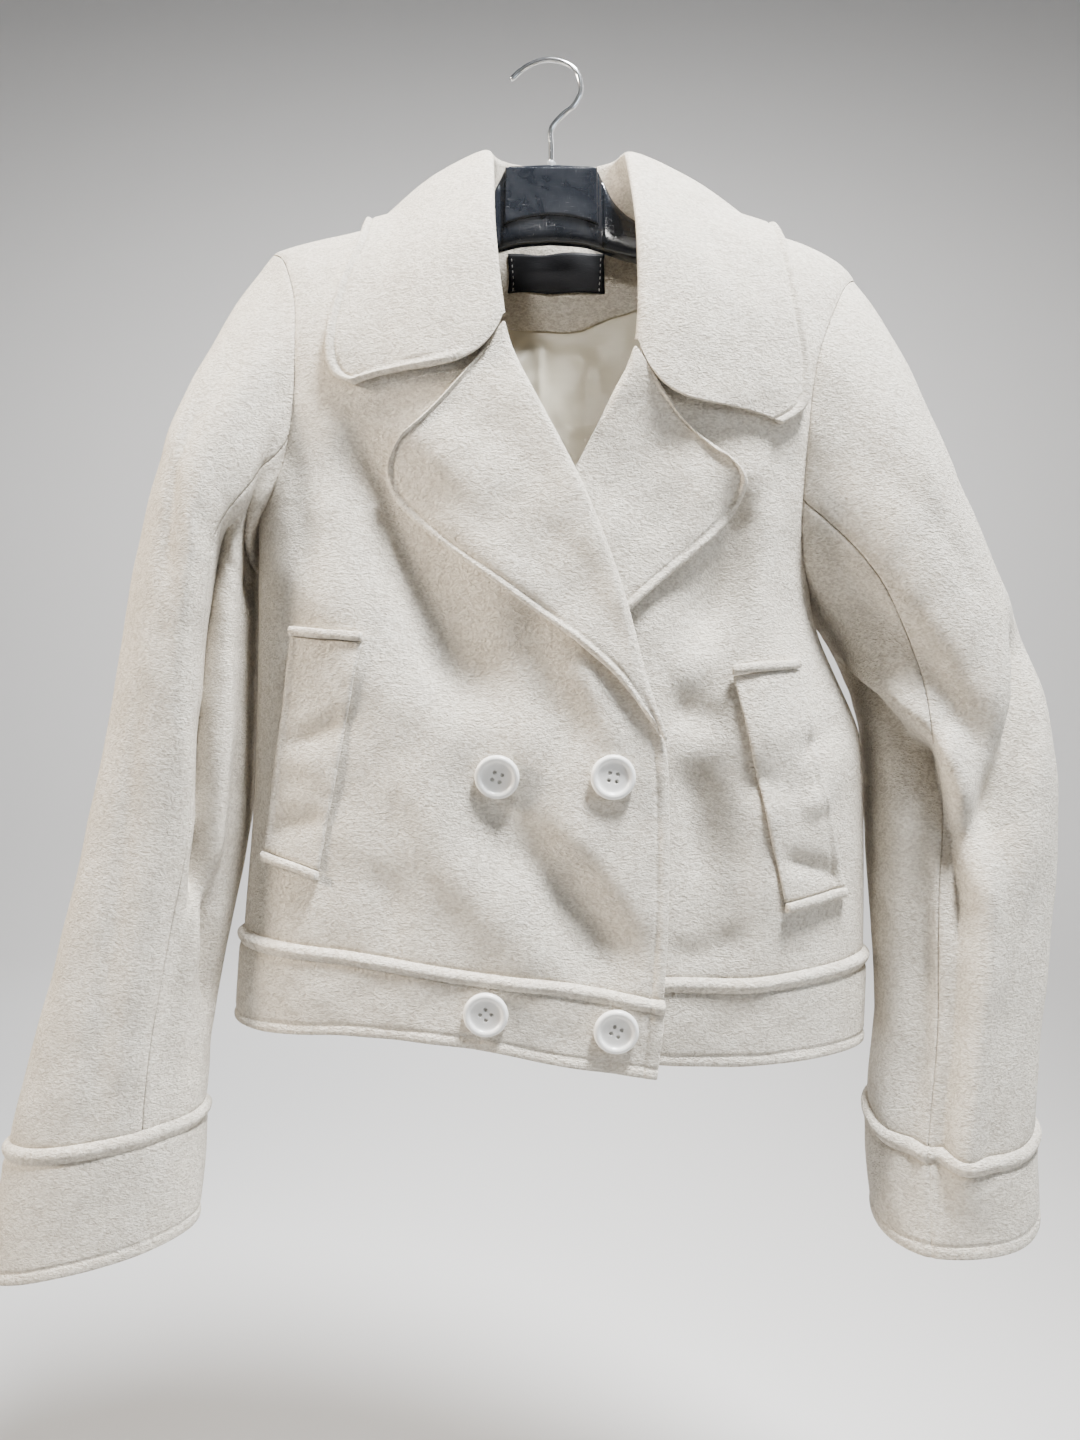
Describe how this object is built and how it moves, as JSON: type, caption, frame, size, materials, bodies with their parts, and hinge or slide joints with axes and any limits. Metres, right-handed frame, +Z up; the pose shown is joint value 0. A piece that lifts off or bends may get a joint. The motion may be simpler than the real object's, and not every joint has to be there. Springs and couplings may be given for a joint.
{
  "type": "double breasted blazer on a plastic hanger",
  "caption": "Cropped double breasted blazer with a wide notched collar, slanted welt pockets and a hem band, hanging closed on a hanger.",
  "frame": {"origin": "inside of the hanger hook's crown, on the rail or wall hook that it hangs from", "axes": "+Z up, -Y out of the front of the garment, -X to the wearer's right"},
  "size_m": [0.6239, 0.158, 0.7457],
  "materials": {
    "wool": "brushed, matt",
    "satin": "satin",
    "label": "woven, satin",
    "button": "semi-gloss",
    "hanger_plastic": "gloss",
    "hook_metal": "bright"
  },
  "bodies": {
    "root": {"front_right": "wool", "front_left": "wool", "back": "wool", "hem_band_front_right": "wool", "hem_band_front_left": "wool", "hem_band_back": "wool", "top_sleeve_right": "wool", "under_sleeve_right": "wool", "cuff_right": "wool", "top_sleeve_left": "wool", "under_sleeve_left": "wool", "cuff_left": "wool", "collar": "wool", "lapel_right": "wool", "lapel_left": "wool", "pocket_welt_right": "wool", "pocket_bar_top_right": "wool", "pocket_bar_low_right": "wool", "pocket_welt_left": "wool", "pocket_bar_top_left": "wool", "pocket_bar_low_left": "wool", "button_upper_outer": "button", "button_upper_inner": "button", "button_lower_outer": "button", "button_lower_inner": "button", "back_neck_facing": "wool", "lining_back": "satin", "neck_label": "label", "hanger_body": "hanger_plastic", "hanger_ferrule": "hook_metal", "hanger_hook": "hook_metal"}
  },
  "joints": []
}
